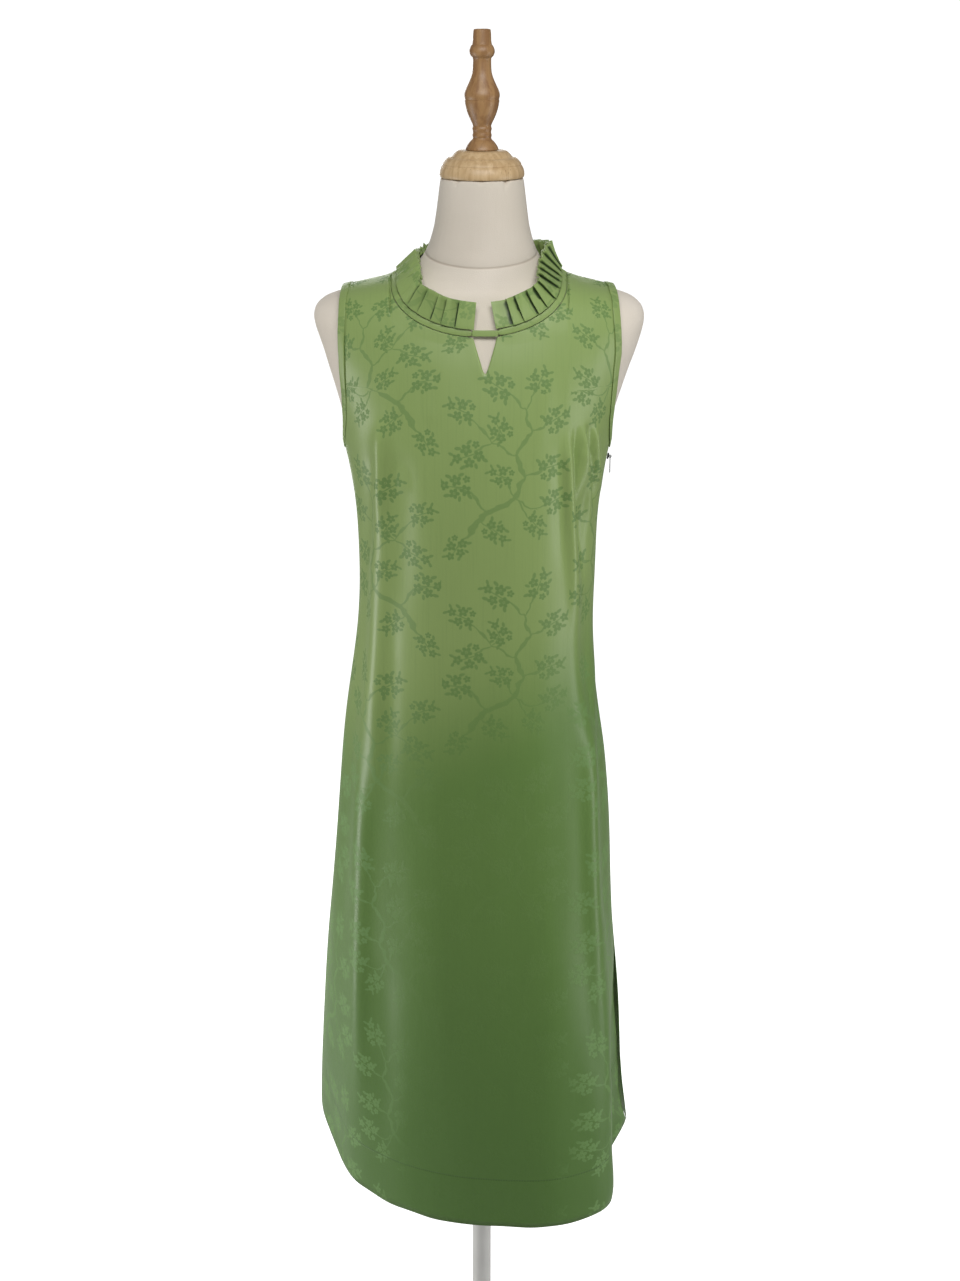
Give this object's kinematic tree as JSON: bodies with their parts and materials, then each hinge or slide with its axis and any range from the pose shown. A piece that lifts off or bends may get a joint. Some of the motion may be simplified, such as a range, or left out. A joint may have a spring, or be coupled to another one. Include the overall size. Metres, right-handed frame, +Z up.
{
  "type": "cheongsam, an east asian dress, on a limbless dress form",
  "caption": "Sleeveless green satin cheongsam with a pleated stand-up collar, keyhole neckline and side slits, on a cloth-covered limbless dress form with a wooden cap and a plain stand.",
  "frame": {"origin": "centre of the stand base's underside, on the floor", "axes": "+Z up, -Y towards the front of the dress, +X towards the right of someone who faces it"},
  "size_m": [0.4197, 0.3517, 1.7886],
  "materials": {
    "green_satin": "satin",
    "cream_cloth": "matte",
    "beech_wood": "satin",
    "white_enamel": "gloss",
    "dark_zip_metal": "satin"
  },
  "bodies": {
    "dressed_form": {"dress_front": "green_satin", "dress_back": "green_satin", "neck_band": "green_satin", "collar_ruffle": "green_satin", "front_bar": "green_satin", "armhole_binding_left": "green_satin", "armhole_binding_right": "green_satin", "zip_slider": "dark_zip_metal", "form_torso": "cream_cloth", "form_neck_cap": "beech_wood", "form_finial": "beech_wood", "stand_pole": "white_enamel", "stand_base": "white_enamel"},
    "pull_tab": {"zip_pull": "dark_zip_metal"}
  },
  "joints": [
    {"name": "zip_pull_hinge", "type": "hinge", "parent": "dressed_form", "child": "pull_tab", "pos_m": [0.15288, 0, 1.302], "axis": [0, -1, 0], "range_deg": [0, 150]}
  ]
}
